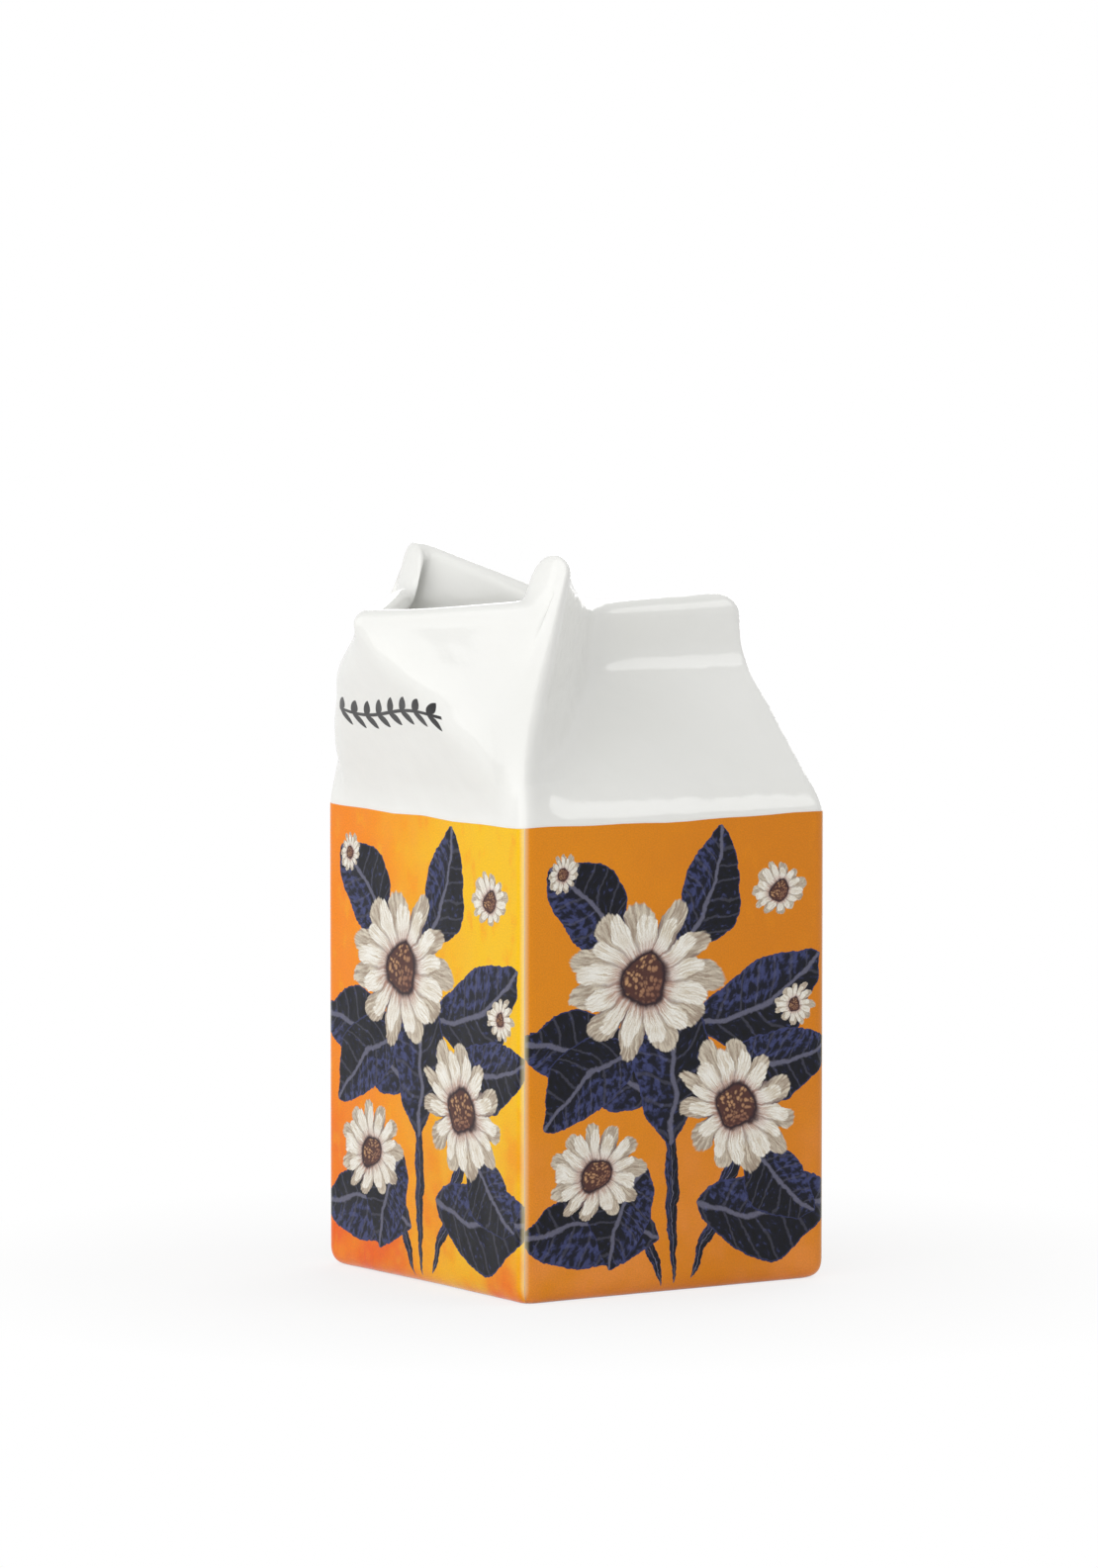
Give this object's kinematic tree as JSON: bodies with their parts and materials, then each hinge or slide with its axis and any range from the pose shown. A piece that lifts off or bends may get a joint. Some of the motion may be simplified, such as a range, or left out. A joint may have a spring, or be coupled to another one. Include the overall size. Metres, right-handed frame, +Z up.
{
  "type": "milk carton jug",
  "caption": "Glazed ceramic pouring jug in the form of a square gable-top carton, its front gable opened into a pointed spout between two ears, with printed transfers on the walls.",
  "frame": {"origin": "centre of the flat base, on the surface the jug stands on", "axes": "+Z up, -Y towards the pouring tip, X across the mirror-symmetric width, ridge fin along Y"},
  "size_m": [0.0722, 0.0895, 0.1452],
  "materials": {
    "white_glaze": "gloss white glaze",
    "printed_glaze": "gloss fired transfer on glaze"
  },
  "bodies": {
    "root": {"ceramic_body": "white_glaze", "print_front": "printed_glaze", "print_right": "printed_glaze", "print_back": "printed_glaze", "print_left": "printed_glaze"}
  },
  "joints": []
}
